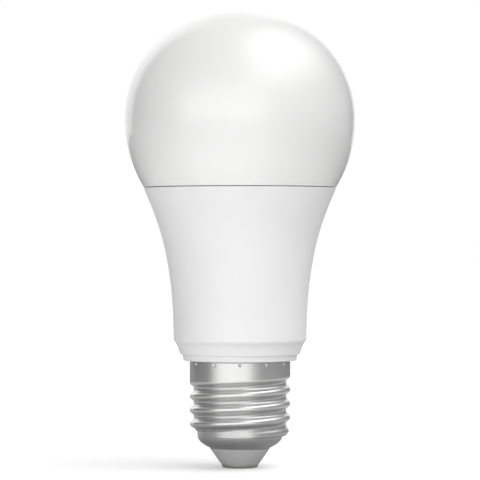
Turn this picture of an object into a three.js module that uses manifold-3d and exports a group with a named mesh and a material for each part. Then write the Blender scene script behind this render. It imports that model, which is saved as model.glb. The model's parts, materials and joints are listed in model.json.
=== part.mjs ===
// A smart LED light bulb: an A60 globe on a flared white housing with an E27 screw cap.
// Millimetres. +Z runs up the bulb's axis, the centre contact's tip is at the origin, and -Y is the front.
import * as THREE from "three";
import { mergeVertices } from "three/addons/utils/BufferGeometryUtils.js";
import Module from "manifold-3d";

const wasm = await Module();
wasm.setup();

const TURN = 2 * Math.PI;
const GAP = 0.05; // air between flat faces that rest on each other
const ROUND = 40; // segments of the large turned pieces
const SMALL_ROUND = 12; // segments of pins, screws and cans

// ---------------------------------------------------------------- solids

/** A manifold-3d solid of a closed three.js geometry. */
function solidOf(geometry) {
  const bare = new THREE.BufferGeometry();
  bare.setAttribute("position", geometry.attributes.position);
  bare.setIndex(geometry.index);
  const welded = mergeVertices(bare, 1e-4);
  const triangles = [];
  for (let i = 0; i < welded.index.count; i += 3) {
    const [a, b, c] = [0, 1, 2].map((k) => welded.index.getX(i + k));
    if (a !== b && b !== c && c !== a) triangles.push(a, b, c);
  }
  return new wasm.Manifold(new wasm.Mesh({
    numProp: 3,
    vertProperties: new Float32Array(welded.attributes.position.array),
    triVerts: new Uint32Array(triangles),
  }));
}

/** The three.js geometry of a manifold-3d solid. */
function geometryOf(solid) {
  const { vertProperties, triVerts } = solid.getMesh();
  const geometry = new THREE.BufferGeometry();
  geometry.setAttribute("position", new THREE.BufferAttribute(vertProperties, 3));
  geometry.setIndex(new THREE.BufferAttribute(triVerts, 1));
  geometry.computeVertexNormals();
  return geometry;
}

/** The first solid with all the others joined to it. */
const join = (first, ...others) => others.reduce((whole, other) => whole.add(other), first);

/** The first solid with all the others cut out of it. */
const cut = (first, ...others) => others.reduce((rest, other) => rest.subtract(other), first);

/** A closed [radius, height] outline turned about Z. Its ends meet each other or lie on the axis. */
function turned(outline, segments = ROUND) {
  const points = outline.map(([radius, height]) => new THREE.Vector2(radius, height));
  if (THREE.ShapeUtils.area(points) < 0) points.reverse();
  if (points[0].x > 0 || points.at(-1).x > 0) points.push(points[0].clone());
  return solidOf(new THREE.LatheGeometry(points, segments).rotateX(Math.PI / 2));
}

/** A box between two limits on each axis. */
function block([x0, x1], [y0, y1], [z0, z1]) {
  const box = new THREE.BoxGeometry(x1 - x0, y1 - y0, z1 - z0);
  return solidOf(box.translate((x0 + x1) / 2, (y0 + y1) / 2, (z0 + z1) / 2));
}

/** An upright rod at (x, y) between two heights. */
function rod(radius, [z0, z1], [x, y] = [0, 0], segments = SMALL_ROUND) {
  const cylinder = new THREE.CylinderGeometry(radius, radius, z1 - z0, segments).rotateX(Math.PI / 2);
  return solidOf(cylinder.translate(x, y, (z0 + z1) / 2));
}

/** A round wire of the given diameter along a smooth route. */
function wire(diameter, route, steps = 16) {
  const path = new THREE.CatmullRomCurve3(route.map((point) => new THREE.Vector3(...point)));
  const section = new THREE.Shape(new THREE.EllipseCurve(0, 0, diameter / 2, diameter / 2).getPoints(8));
  return solidOf(new THREE.ExtrudeGeometry(section, { steps, extrudePath: path }));
}

/** Points of a curve in the (radius, height) plane as [radius, height] pairs. */
const along = (curve, steps) => curve.getPoints(steps).map(({ x, y }) => [x, y]);

/** An arc in the (radius, height) plane, from one angle to another, clockwise when the angle falls. */
function arc([r, z], radius, from, to, steps) {
  const curve = new THREE.EllipseCurve(r, z, radius, radius, from, to, to < from);
  return along(curve, steps);
}

// ---------------------------------------------------------------- pieces and materials

const bulb = new THREE.Group();

function piece(name, solid, material) {
  const mesh = new THREE.Mesh(geometryOf(solid), material);
  mesh.name = name;
  bulb.add(mesh);
  return mesh;
}

const finish = (color, roughness, metalness = 0) =>
  new THREE.MeshStandardMaterial({ color, roughness, metalness });

const OPAL = finish(0xf6f6f4, 0.35);
const WHITE_PLASTIC = finish(0xf1f1ef, 0.5);
const SATIN_NICKEL = finish(0xc4c3c1, 0.32, 1);
const ALUMINIUM = finish(0xb9bcbe, 0.45, 1);
const GREY_INSULATOR = finish(0x9b9b99, 0.5);
const SILICONE = finish(0xd9d9d6, 0.6);
const THERMAL_SILICONE = finish(0x8fa6b4, 0.8);
const WHITE_BOARD = finish(0xe9ebe8, 0.4);
const GREEN_BOARD = finish(0x2f6a45, 0.45);
const DARK_BOARD = finish(0x1f3a55, 0.45);
const WARM_PHOSPHOR = finish(0xf0b64a, 0.4);
const COOL_PHOSPHOR = finish(0xf3e27a, 0.4);
const TINNED = finish(0xcfd0cf, 0.3, 1);
const ZINC_STEEL = finish(0xbfc1c3, 0.35, 1);
const COPPER = finish(0xb87333, 0.35, 1);
const COPPER_WINDING = finish(0xb5662e, 0.4, 0.8);
const FERRITE = finish(0x35363a, 0.7);
const BLACK_PLASTIC = finish(0x1c1c1d, 0.5);
const CHIP_RESIN = finish(0x17181a, 0.55);
const CAPACITOR_SLEEVE = finish(0x22262e, 0.35);
const FILM_RESIN = finish(0xc79a2e, 0.4);
const RESISTOR_COATING = finish(0x7fa8b5, 0.5);
const WIRE_SLEEVE = finish(0xb3302c, 0.45);
const NEUTRAL_SLEEVE = finish(0x2d2d2f, 0.45);

// ---------------------------------------------------------------- globe and housing outlines

const GLOBE = {
  radius: 30, // A60: a 60 mm globe
  centre: 90.6, // height of the equator
  lowerArc: 33.8, // the globe is a little fuller below its equator
  edge: 73.1, // height of the lower edge, at the seam
  wall: 1.4,
};

/** Radius of the globe at a height below its equator, for an arc set in by some inset. */
function globeRadius(z, inset = 0) {
  const reach = GLOBE.lowerArc - inset;
  return GLOBE.radius - GLOBE.lowerArc + Math.sqrt(reach ** 2 - (z - GLOBE.centre) ** 2);
}

const HOUSING = {
  rim: 72.75, // height of the upper edge, under the seam
  foot: 33.7, // height where the neck's straight side ends
  wall: 1.3,
};

/** The housing's flare as a curve from its rim to its foot, moved towards the axis by some inset. */
function flare(inset = 0) {
  return new THREE.CubicBezierCurve(
    new THREE.Vector2(25.05 - inset, HOUSING.rim),
    new THREE.Vector2(21.5 - inset, 64.5),
    new THREE.Vector2(17.5 - inset, 55.7),
    new THREE.Vector2(17.3 - inset, HOUSING.foot),
  );
}

/** Points of the flare between two heights, from the upper one down, with both ends on the curve. */
function flareBetween(top, bottom, inset, steps) {
  const fine = along(flare(inset), 400);
  const radiusAt = (z) => fine.find(([, height]) => height <= z + 1e-6)[0];
  return Array.from({ length: steps + 1 }, (_, i) => {
    const z = top + ((bottom - top) * i) / steps;
    return [radiusAt(z), z];
  });
}

// ---------------------------------------------------------------- diffuser globe and its seal

const SKIRT = { outer: 22.6, inner: 21.4, bottom: 70.6 }; // the snap ring that enters the housing

{
  const { radius, centre, edge, wall } = GLOBE;
  const innerStart = edge + wall;
  const lowerSteps = 4;
  const lowerHeights = (from, to) =>
    Array.from({ length: lowerSteps }, (_, i) => from + ((to - from) * i) / lowerSteps);
  const outline = [
    ...arc([0, centre], radius - wall, Math.PI / 2, 0, 9),
    ...lowerHeights(centre, innerStart).slice(1).map((z) => [globeRadius(z, wall), z]),
    [globeRadius(innerStart, wall), innerStart],
    [SKIRT.inner, innerStart - 0.4],
    [SKIRT.inner, SKIRT.bottom],
    [SKIRT.outer - 0.2, SKIRT.bottom],
    [SKIRT.outer, SKIRT.bottom + 0.4],
    [SKIRT.outer, edge],
    ...lowerHeights(edge, centre).map((z) => [globeRadius(z), z]),
    ...arc([0, centre], radius, 0, Math.PI / 2, 12),
  ];
  outline[0][0] = 0;
  outline.at(-1)[0] = 0;
  piece("diffuser_globe", turned(outline), OPAL);
}

piece("seam_sealant_ring", turned([[22.75, 71.5], [23.7, 71.5], [23.7, 72.95], [22.75, 72.95]]), SILICONE);

// ---------------------------------------------------------------- housing shell

const NECK = {
  bandRadius: 12.3, // under the smooth band of the screw shell
  threadRadius: 11.3, // under the rolled thread
  bore: 10.2,
  bottom: 10,
};

{
  const shoulder = 33.2;
  const outline = [
    ...flareBetween(HOUSING.rim, HOUSING.foot, 0, 11),
    // rounded foot, chamfer, band and lip
    [17.13, 33.0],
    [16.85, 32.5],
    [15.98, 30.95],
    [15.6, 29.7],
    [14.95, 29.5],
    [14.75, 28.3],
    [14.6, 28.0],
    [14.3, 27.9],
    // neck inside the screw shell
    [NECK.bandRadius, 27.9],
    [NECK.bandRadius, 24.6],
    [NECK.threadRadius, 23.8],
    [NECK.threadRadius, NECK.bottom + 0.5],
    [NECK.threadRadius - 0.4, NECK.bottom],
    [NECK.bore, NECK.bottom],
    [NECK.bore, 31],
    [12.4, shoulder],
    [15.9, shoulder + 1],
    // inside wall, then the stepped rim that takes the globe's skirt
    ...flareBetween(70.2, shoulder + 3, HOUSING.wall, 7).reverse(),
    [22.9, 70.2],
    [22.9, 71.3],
    [23.9, 71.3],
    [23.9, HOUSING.rim],
  ];
  // the notch lets the neutral wire out to the screw shell
  const wireNotch = block([9, 12.2], [-0.9, 0.9], [NECK.bottom - 1, 13.4]);
  piece("housing_shell", cut(turned(outline), wireNotch), WHITE_PLASTIC);
}

// ---------------------------------------------------------------- heat sink, pad and LED board

const BOARD_SCREW = { offset: 17.3, shank: 1, head: 1.8 };
const screwPlaces = [[BOARD_SCREW.offset, 0], [-BOARD_SCREW.offset, 0]];
const SINK = { top: 67.8, sheet: 0.8, inset: 1.6, bottom: 36.4, opening: 14.8, collar: 3 };
const PAD = [SINK.top + GAP, SINK.top + GAP + 0.5];
const LED_BOARD = { radius: 21.2, bottom: PAD[1] + GAP, top: PAD[1] + GAP + 1.2 };

{
  const under = SINK.top - SINK.sheet;
  const outline = [
    [SINK.opening, SINK.top],
    ...flareBetween(SINK.top, SINK.bottom, SINK.inset, 6),
    ...flareBetween(under, SINK.bottom, SINK.inset + SINK.sheet, 6).reverse(),
    [SINK.opening, under],
  ];
  const collars = screwPlaces.map((place) => rod(2, [under - SINK.collar, under + 0.1], place, 16));
  const holes = screwPlaces.map((place) =>
    rod(BOARD_SCREW.shank + 0.1, [under - SINK.collar - 1, SINK.top + 1], place));
  piece("heat_sink_cup", cut(join(turned(outline), ...collars), ...holes), ALUMINIUM);
}

{
  const [bottom, top] = PAD;
  const ring = turned([[14.9, bottom], [20.8, bottom], [20.8, top], [14.9, top]]);
  const holes = screwPlaces.map((place) => rod(BOARD_SCREW.shank + 0.3, [bottom - 1, top + 1], place));
  piece("thermal_pad", cut(ring, ...holes), THERMAL_SILICONE);
}

const HEADER = { centre: [5.5, -2.1], pitch: 2.54, pin: 0.64, count: 4 };
const RADIO_BOARD = { halfWidth: 8, front: 4.6, back: 5.4, bottom: 57, top: 84 };

{
  const { radius, bottom, top } = LED_BOARD;
  const through = [bottom - 1, top + 1];
  const disc = turned([[0, bottom], [radius, bottom], [radius, top], [0, top]]);
  const screwHoles = screwPlaces.map((place) => rod(BOARD_SCREW.shank + 0.15, through, place));
  const radioSlot = block([-8.3, 8.3], [RADIO_BOARD.front - 0.4, RADIO_BOARD.back + 0.4], through);
  const [pinX, pinY] = HEADER.centre;
  const pinSlot = block([pinX - 4.5, pinX + 4.5], [pinY - 0.6, pinY + 0.6], through);
  piece("led_board", cut(disc, ...screwHoles, radioSlot, pinSlot), WHITE_BOARD);
}

screwPlaces.forEach((place, i) => {
  const seat = LED_BOARD.top + GAP;
  const shank = rod(BOARD_SCREW.shank, [SINK.top - 4, seat + 0.2], place);
  const head = rod(BOARD_SCREW.head, [seat, seat + 1.2], place, 16);
  const crossSlots = [[0.25, 1.1], [1.1, 0.25]].map(([x, y]) =>
    block([place[0] - x, place[0] + x], [place[1] - y, place[1] + y], [seat + 0.6, seat + 2]));
  piece(`board_screw_${i + 1}`, cut(join(shank, head), ...crossSlots), ZINC_STEEL);
});

// ---------------------------------------------------------------- LEDs, warm and cool in turn

const LED = { length: 3.5, width: 2.8, height: 0.7, ring: 17, perColour: 8 };

{
  const [halfLength, halfWidth] = [LED.length / 2, LED.width / 2];
  const body = block([-halfLength, halfLength], [-halfWidth, halfWidth], [0, LED.height]);
  // the phosphor fills a shallow cup in the white package
  const cup = block([0.5 - halfLength, halfLength - 0.5], [0.4 - halfWidth, halfWidth - 0.4],
    [LED.height - 0.12, LED.height + 1]);
  const count = 2 * LED.perColour;
  for (let i = 0; i < count; i += 1) {
    const warm = i % 2 === 0;
    const number = Math.floor(i / 2) + 1;
    const angle = ((i + 0.5) / count) * TURN;
    const name = `led_${warm ? "warm" : "cool"}_${number}`;
    const led = piece(name, cut(body, cup), warm ? WARM_PHOSPHOR : COOL_PHOSPHOR);
    led.position.set(LED.ring * Math.cos(angle), LED.ring * Math.sin(angle), LED_BOARD.top + GAP);
    led.rotation.z = angle;
  }
}

// ---------------------------------------------------------------- plug between driver and LED board

{
  const [x, y] = HEADER.centre;
  const half = HEADER.pin / 2;
  const places = Array.from({ length: HEADER.count }, (_, i) =>
    x + (i - (HEADER.count - 1) / 2) * HEADER.pitch);
  const pinHoles = (clear) => places.map((px) =>
    block([px - half - clear, px + half + clear], [y - half - clear, y + half + clear], [50, 90]));
  const socket = block([x - 5.1, x + 5.1], [y - 1.7, y + 1.7], [LED_BOARD.top + GAP, LED_BOARD.top + 3.5]);
  const base = block([x - 5.1, x + 5.1], [y - 1.25, y + 1.25], [60, 62.5]);
  piece("led_socket", cut(socket, ...pinHoles(0.15)), BLACK_PLASTIC);
  piece("header_base", cut(base, ...pinHoles(GAP)), BLACK_PLASTIC);
  places.forEach((px, i) => {
    const pin = block([px - half, px + half], [y - half, y + half], [59, LED_BOARD.top + 3]);
    piece(`header_pin_${i + 1}`, pin, TINNED);
  });
}

// ---------------------------------------------------------------- driver sleeve and board

const SLEEVE = { outer: 14.3, wall: 0.8, bottom: 35.2, top: 66.9, opening: 10.5 };
const DRIVER = { face: 0.8, wide: 12, narrow: 8.5, bottom: 13, step: 36.6, top: 64 };
const FRONT = -DRIVER.face - GAP; // where parts on the front of the driver board sit
const BACK = DRIVER.face + GAP; // where parts on its back sit

{
  const inner = SLEEVE.outer - SLEEVE.wall;
  const floor = SLEEVE.bottom + 1;
  const tube = turned([
    [SLEEVE.opening, SLEEVE.bottom], [SLEEVE.outer, SLEEVE.bottom], [SLEEVE.outer, SLEEVE.top],
    [inner, SLEEVE.top], [inner, floor], [SLEEVE.opening, floor],
  ], 40);
  // two pairs of ribs guide the edges of the driver board
  const ribs = [-1, 1].flatMap((side) => [-1, 1].map((face) => {
    const across = [side * 11.2, side * (inner + 0.2)].sort((a, b) => a - b);
    const deep = [face * 0.95, face * 1.9].sort((a, b) => a - b);
    return block(across, deep, [floor - 0.1, SLEEVE.top - 1]);
  }));
  piece("driver_sleeve", join(tube, ...ribs), WHITE_PLASTIC);
}

{
  const { face, wide, narrow, bottom, step, top } = DRIVER;
  const upper = block([-wide, wide], [-face, face], [step, top]);
  const lower = block([-narrow, narrow], [-face, face], [bottom, step + 1]);
  piece("driver_board", join(upper, lower), GREEN_BOARD);
}

// ---------------------------------------------------------------- transformer

{
  const [y, z] = [-5.9, 46.5];
  const core = { x: 6.5, y: 2.8, z: 6.2, limb: 1.6, window: [2, 4.9], windowZ: 4.4 };
  const box = (hx, hy, hz) => block([-hx, hx], [y - hy, y + hy], [z - hz, z + hz]);
  const windows = [-1, 1].map((side) => {
    const across = core.window.map((x) => side * x).sort((a, b) => a - b);
    return block(across, [y - 5, y + 5], [z - core.windowZ, z + core.windowZ]);
  });
  piece("transformer_core", cut(box(core.x, core.y, core.z), ...windows), FERRITE);

  // the bobbin's tube slips over the centre limb, and its two flanges hold the winding
  const [flange, gapOver] = [0.6, 0.1];
  const inside = core.windowZ - gapOver;
  const tubeOver = (hx, hy, hz) => box(hx, hy, hz);
  const limbHole = tubeOver(2.1, core.y + 0.1, inside + 1);
  const spool = cut(
    join(
      tubeOver(2.6, core.y + 0.6, inside),
      block([-4.75, 4.75], [y - 4.6, y + 4.6], [z + inside - flange, z + inside]),
      block([-4.75, 4.75], [y - 4.6, y + 4.6], [z - inside, z - inside + flange]),
    ),
    limbHole,
  );
  piece("transformer_bobbin", spool, BLACK_PLASTIC);

  const wound = inside - flange - gapOver;
  const layer = new THREE.Shape();
  const [hx, hy, corner] = [4.5, 4.4, 1.2];
  layer.moveTo(hx, hy - corner).absarc(hx - corner, hy - corner, corner, 0, Math.PI / 2);
  layer.absarc(corner - hx, hy - corner, corner, Math.PI / 2, Math.PI);
  layer.absarc(corner - hx, corner - hy, corner, Math.PI, 1.5 * Math.PI);
  layer.absarc(hx - corner, corner - hy, corner, 1.5 * Math.PI, TURN);
  const coil = new THREE.ExtrudeGeometry(layer, { depth: 2 * wound, bevelEnabled: false, curveSegments: 4 });
  const around = tubeOver(2.7, core.y + 0.7, inside);
  piece("transformer_winding", cut(solidOf(coil.translate(0, y, z - wound)), around), COPPER_WINDING);
}

// ---------------------------------------------------------------- capacitors, choke and resistor

/** A round can standing beside the board's front face, with two bent leads at one end. */
function canWithLeads(name, { radius, x, span, leadZ, spacing }, material) {
  const y = FRONT - 0.1 - radius;
  const can = rod(radius, span, [x, y], 24);
  const end = leadZ > span[1] ? span[1] : span[0];
  const [low, high] = [Math.min(end, leadZ), Math.max(end, leadZ)];
  const leads = [-spacing / 2, spacing / 2].flatMap((offset) => {
    const across = [x + offset - 0.3, x + offset + 0.3];
    return [
      block(across, [y - 0.3, y + 0.3], [low - 0.1, high + 0.1]),
      block(across, [y - 0.3, FRONT], [leadZ - 0.3, leadZ + 0.3]),
    ];
  });
  piece(name, join(can, ...leads), material);
}

canWithLeads("input_capacitor",
  { radius: 4, x: 0, span: [14.5, 28.2], leadZ: 29.3, spacing: 3.5 }, CAPACITOR_SLEEVE);
canWithLeads("output_capacitor",
  { radius: 4, x: -5.5, span: [54.3, 65.8], leadZ: 53.3, spacing: 3.5 }, CAPACITOR_SLEEVE);
piece("film_capacitor", block([-4.2, 4.2], [FRONT - 4, FRONT], [31, 38.4]), FILM_RESIN);

{
  const [y, bottom, top, flange] = [4.4, 26.6, 35.6, 1.2];
  const hub = rod(1.6, [bottom, top], [0, y], 20);
  const lower = rod(3.5, [bottom, bottom + flange], [0, y], 24);
  const upper = rod(3.5, [top - flange, top], [0, y], 24);
  piece("inductor_core", join(hub, lower, upper), FERRITE);
  const wound = [bottom + flange + 0.1, top - flange - 0.1];
  const coil = cut(rod(3.1, wound, [0, y], 24), rod(1.75, [bottom, top], [0, y], 20));
  piece("inductor_winding", coil, COPPER_WINDING);
}

{
  const [x, y, bottom, top] = [-5.4, 2.55, 16.5, 25.5];
  const leads = [bottom - 1, top + 1].flatMap((z) => [
    block([x - 0.3, x + 0.3], [BACK, y + 0.3], [z - 0.3, z + 0.3]),
    block([x - 0.3, x + 0.3], [y - 0.3, y + 0.3], [Math.min(z, top) - 0.1, Math.max(z, bottom) + 0.1]),
  ]);
  piece("fusible_resistor", join(rod(1.6, [bottom, top], [x, y], 16), ...leads), RESISTOR_COATING);
}

// ---------------------------------------------------------------- chips on the back of the driver board

/** A chip that lies on the back of the driver board, with a row of legs at each side. */
function chip(name, { x, z, width, height, depth, legs }) {
  const body = block([x - width / 2, x + width / 2], [BACK + 0.15, BACK + depth],
    [z - height / 2, z + height / 2]);
  const legSolids = [-1, 1].flatMap((side) => Array.from({ length: legs }, (_, i) => {
    const centre = x + (i - (legs - 1) / 2) * 1.27;
    const reach = [side * (height / 2 - 0.3), side * (height / 2 + 0.9)].sort((a, b) => a - b);
    return block([centre - 0.2, centre + 0.2], [BACK, BACK + 0.5], [z + reach[0], z + reach[1]]);
  }));
  piece(name, join(body, ...legSolids), CHIP_RESIN);
}

chip("bridge_rectifier", { x: 2.6, z: 21, width: 4.8, height: 3.9, depth: 1.6, legs: 2 });
chip("control_chip", { x: 0, z: 43, width: 4.9, height: 3.9, depth: 1.6, legs: 4 });
chip("output_diode", { x: -7, z: 49.5, width: 2.6, height: 4.2, depth: 2.2, legs: 1 });
chip("dimming_transistor_warm", { x: -7, z: 60, width: 3, height: 1.4, depth: 1.1, legs: 2 });
chip("dimming_transistor_cool", { x: 7, z: 60, width: 3, height: 1.4, depth: 1.1, legs: 2 });

// ---------------------------------------------------------------- radio module

{
  const { halfWidth, front, back, bottom, top } = RADIO_BOARD;
  const face = back + GAP;
  piece("radio_board", block([-halfWidth, halfWidth], [front, back], [bottom, top]), DARK_BOARD);

  for (let i = 0; i < HEADER.count; i += 1) {
    const x = (i - (HEADER.count - 1) / 2) * HEADER.pitch;
    const half = HEADER.pin / 2;
    const pin = block([x - half, x + half], [BACK, front - GAP], [58.5 - half, 58.5 + half]);
    piece(`radio_pin_${i + 1}`, pin, TINNED);
  }

  // a pressed can, open towards the board, covers the radio chip
  const [halfCan, deep, sheet, canZ] = [5.5, 2, 0.2, [60, 67.6]];
  const can = block([-halfCan, halfCan], [face, face + deep], canZ);
  const hollow = block([sheet - halfCan, halfCan - sheet], [face - 1, face + deep - sheet],
    [canZ[0] + sheet, canZ[1] - sheet]);
  piece("radio_shield", cut(can, hollow), TINNED);
  piece("radio_chip", block([-2.5, 2.5], [face, face + 0.9], [61.3, 66.3]), CHIP_RESIN);

  // the antenna is a copper trace that runs to and fro above the LED board
  const [trace, reach, rise, turns] = [0.7, 6.2, 1.7, 6];
  const start = 72.5;
  const strips = [block([-reach, trace - reach], [face, face + 0.15], [start - 2, start + trace])];
  for (let i = 0; i < turns; i += 1) {
    const z = start + i * rise;
    strips.push(block([-reach, reach], [face, face + 0.15], [z, z + trace]));
    const side = i % 2 === 0 ? [reach - trace, reach] : [-reach, trace - reach];
    if (i < turns - 1) strips.push(block(side, [face, face + 0.15], [z, z + rise + trace]));
  }
  piece("radio_antenna", join(...strips), COPPER);
}

// ---------------------------------------------------------------- screw cap

const CAP = {
  pitch: 3.629, // E27: seven threads to the inch
  crest: 13.1,
  arc: 1.025, // equal round crests and roots
  firstCrest: 20.38, // height of the top crest where it starts, at +X
  bandTop: 27.7,
  sheet: 0.35,
  threadEnd: 8.2, // the thread has run out into the rounded bottom here
};

/** Depth of the rolled thread below its crest, at a distance along the axis from the crest. */
function threadDepth(distance) {
  const { pitch, arc: bend } = CAP;
  const fall = (s) => bend - Math.sqrt(bend ** 2 - s ** 2);
  const s = Math.abs(distance - pitch * Math.round(distance / pitch));
  return s <= pitch / 4 ? fall(s) : 2 * fall(pitch / 4) - fall(pitch / 2 - s);
}

/** Outer radius of the screw shell at an angle from +X and a height. */
function shellRadius(angle, z) {
  const { pitch, crest, firstCrest, threadEnd } = CAP;
  const topCrest = firstCrest + (pitch * angle) / TURN;
  const bandEdge = firstCrest + (pitch / 2) * (1 + Math.abs(angle - Math.PI) / Math.PI);
  const runIn = angle < Math.PI ? bandEdge - topCrest : 0;
  if (z >= topCrest + runIn) return crest;
  // the last groove narrows and fades out under the smooth band
  if (z > topCrest) return crest - threadDepth(((z - topCrest) * pitch) / runIn) * (runIn / pitch);
  const [belly, rounding, lower] = [2.65, 2.05, 11.05];
  const fade = Math.min(1, (threadEnd + belly - z) / belly);
  const envelope = lower + rounding * (fade <= 0 ? 1 : Math.sqrt(Math.max(0, 1 - fade ** 2)));
  return Math.min(crest - threadDepth(z - topCrest), envelope);
}

/** A ring-shaped closed solid whose section is a loop of [radius, height] that depends on the angle. */
function sweptLoop(loopAt, segments) {
  const loops = Array.from({ length: segments }, (_, i) => loopAt((i / segments) * TURN));
  const count = loops[0].length;
  const positions = loops.flatMap((loop, i) => {
    const angle = (i / segments) * TURN;
    return loop.flatMap(([r, z]) => [r * Math.cos(angle), r * Math.sin(angle), z]);
  });
  const index = [];
  for (let i = 0; i < segments; i += 1) {
    for (let j = 0; j < count; j += 1) {
      const here = [i, (i + 1) % segments].map((k) => k * count + j);
      const next = [i, (i + 1) % segments].map((k) => k * count + ((j + 1) % count));
      index.push(here[0], next[0], here[1], here[1], next[0], next[1]);
    }
  }
  const geometry = new THREE.BufferGeometry();
  geometry.setAttribute("position", new THREE.Float32BufferAttribute(positions, 3));
  geometry.setIndex(index);
  return solidOf(geometry);
}

{
  const { pitch, crest, bandTop, sheet, threadEnd } = CAP;
  const rowsPerPitch = 5;
  const threadTop = 24.4;
  const rowCount = Math.round(((threadTop - threadEnd) / pitch) * rowsPerPitch);
  const threadRows = Array.from({ length: rowCount }, (_, i) =>
    threadTop + ((threadEnd - threadTop) * i) / rowCount);
  const bowl = along(new THREE.CubicBezierCurve(
    new THREE.Vector2(11.1, threadEnd),
    new THREE.Vector2(10.95, 6.9),
    new THREE.Vector2(9.5, 5.95),
    new THREE.Vector2(7.9, 5.2),
  ), 5);
  const bowlInside = bowl.map(([r, z], i) => {
    const steep = 1 - i / (bowl.length - 1);
    return [r - sheet * steep, z + sheet * (1.05 - steep)];
  });
  const shell = sweptLoop((angle) => {
    const rows = threadRows.map((z) => [shellRadius(angle, z), z]);
    const inside = rows.map(([r, z]) => [r - sheet, z]).reverse();
    return [
      [crest - 0.1, bandTop], [crest, bandTop - 0.15], ...rows, ...bowl,
      ...bowlInside.toReversed(), ...inside, [crest - sheet, bandTop],
    ];
  }, 36);

  // a ring of punched dents locks the band to the housing's neck
  const dents = { count: 12, height: 27.1, radius: 0.62, depth: 0.2 };
  const punches = Array.from({ length: dents.count }, (_, i) => {
    const angle = (i / dents.count) * TURN - Math.PI / 2;
    const reach = crest + dents.radius - dents.depth;
    const ball = new THREE.SphereGeometry(dents.radius, 8, 6);
    return solidOf(ball.translate(reach * Math.cos(angle), reach * Math.sin(angle), dents.height));
  });
  piece("screw_shell", cut(shell, ...punches), SATIN_NICKEL);
}

const CONTACT = { radius: 4.77, height: 0.85, shank: 1.2, shankTop: 8.5 };

piece("cap_insulator", turned([
  [1.4, CONTACT.height + GAP],
  [5, CONTACT.height + GAP],
  [7.85, 5.1],
  // a groove holds the edge of the screw shell
  [7.5, 5.1],
  [7.5, 5.95],
  [9.1, 6.75],
  [9.1, 7.6],
  [1.4, 7.6],
]), GREY_INSULATOR);

piece("centre_contact", turned([
  [0, 0],
  [2.3, 0],
  [3.7, 0.12],
  [4.5, 0.42],
  [CONTACT.radius, CONTACT.height],
  [CONTACT.shank, CONTACT.height],
  [CONTACT.shank, CONTACT.shankTop],
  [0, CONTACT.shankTop],
]), TINNED);

// ---------------------------------------------------------------- mains wires inside the cap

piece("live_wire", wire(1.2, [
  [0, 0, CONTACT.shankTop + GAP], [0, -0.3, 9.8], [-2.4, -1.9, 11.2], [-3.8, FRONT - 0.9, 13],
  [-3.8, FRONT - 0.9, 14.4],
]), WIRE_SLEEVE);

piece("neutral_wire", wire(1.2, [
  [5, BACK + 0.9, 16.5], [5, BACK + 0.9, 14.5], [5.8, BACK + 0.9, 12.4], [8.4, 0.5, 11.6], [11.3, 0, 11.7],
]), NEUTRAL_SLEEVE);

export default bulb;
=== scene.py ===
"""A smart LED light bulb: opal globe, flared white housing and a nickel-plated screw cap.

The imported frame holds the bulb's electronics. The outer pieces are turned and pressed here at full detail.
"""
import json
import math

import bpy
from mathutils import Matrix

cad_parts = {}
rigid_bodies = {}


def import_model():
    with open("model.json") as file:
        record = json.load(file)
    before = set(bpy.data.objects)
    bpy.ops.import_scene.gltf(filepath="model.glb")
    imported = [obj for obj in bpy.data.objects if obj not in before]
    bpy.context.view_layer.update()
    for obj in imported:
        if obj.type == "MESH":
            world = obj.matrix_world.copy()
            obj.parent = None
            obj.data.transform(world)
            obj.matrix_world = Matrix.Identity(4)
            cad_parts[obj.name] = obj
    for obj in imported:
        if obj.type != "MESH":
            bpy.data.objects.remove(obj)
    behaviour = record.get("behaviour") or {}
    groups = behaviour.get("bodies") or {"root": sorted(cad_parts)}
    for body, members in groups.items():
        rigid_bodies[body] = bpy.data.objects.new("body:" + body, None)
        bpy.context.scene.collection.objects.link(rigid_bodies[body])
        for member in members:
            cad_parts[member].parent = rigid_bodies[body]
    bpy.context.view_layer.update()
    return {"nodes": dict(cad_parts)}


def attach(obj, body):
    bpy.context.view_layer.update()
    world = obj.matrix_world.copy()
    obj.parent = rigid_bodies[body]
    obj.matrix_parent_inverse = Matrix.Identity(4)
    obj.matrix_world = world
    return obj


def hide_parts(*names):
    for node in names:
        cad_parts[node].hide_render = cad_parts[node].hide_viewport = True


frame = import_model()
MM = 0.001

# ---- Centre contact -------------------------------------------------------------------------------
# The live contact at the very tip: a shallow tin-plated brass cap, pressed to a low dome with a small
# flat in its middle. Its shank goes up through the insulator and is riveted over inside the cap.


def start_piece(name):
    """A new mesh object of one vertex at the origin, in edit mode with nothing else selected."""
    bpy.ops.object.select_all(action="DESELECT")
    bpy.ops.mesh.primitive_plane_add(size=MM)
    piece = bpy.context.object
    piece.name = piece.data.name = name
    bpy.ops.object.mode_set(mode="EDIT")
    bpy.ops.mesh.select_mode(type="VERT")
    bpy.ops.mesh.merge(type="CENTER")
    return piece


def arc(centre, radius, start, end, steps):
    """Points of an arc in the (radius, height) plane, with its angles in degrees."""
    angles = [math.radians(start + (end - start) * i / steps) for i in range(steps + 1)]
    return [(centre[0] + radius * math.cos(a), centre[1] + radius * math.sin(a)) for a in angles]


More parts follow.
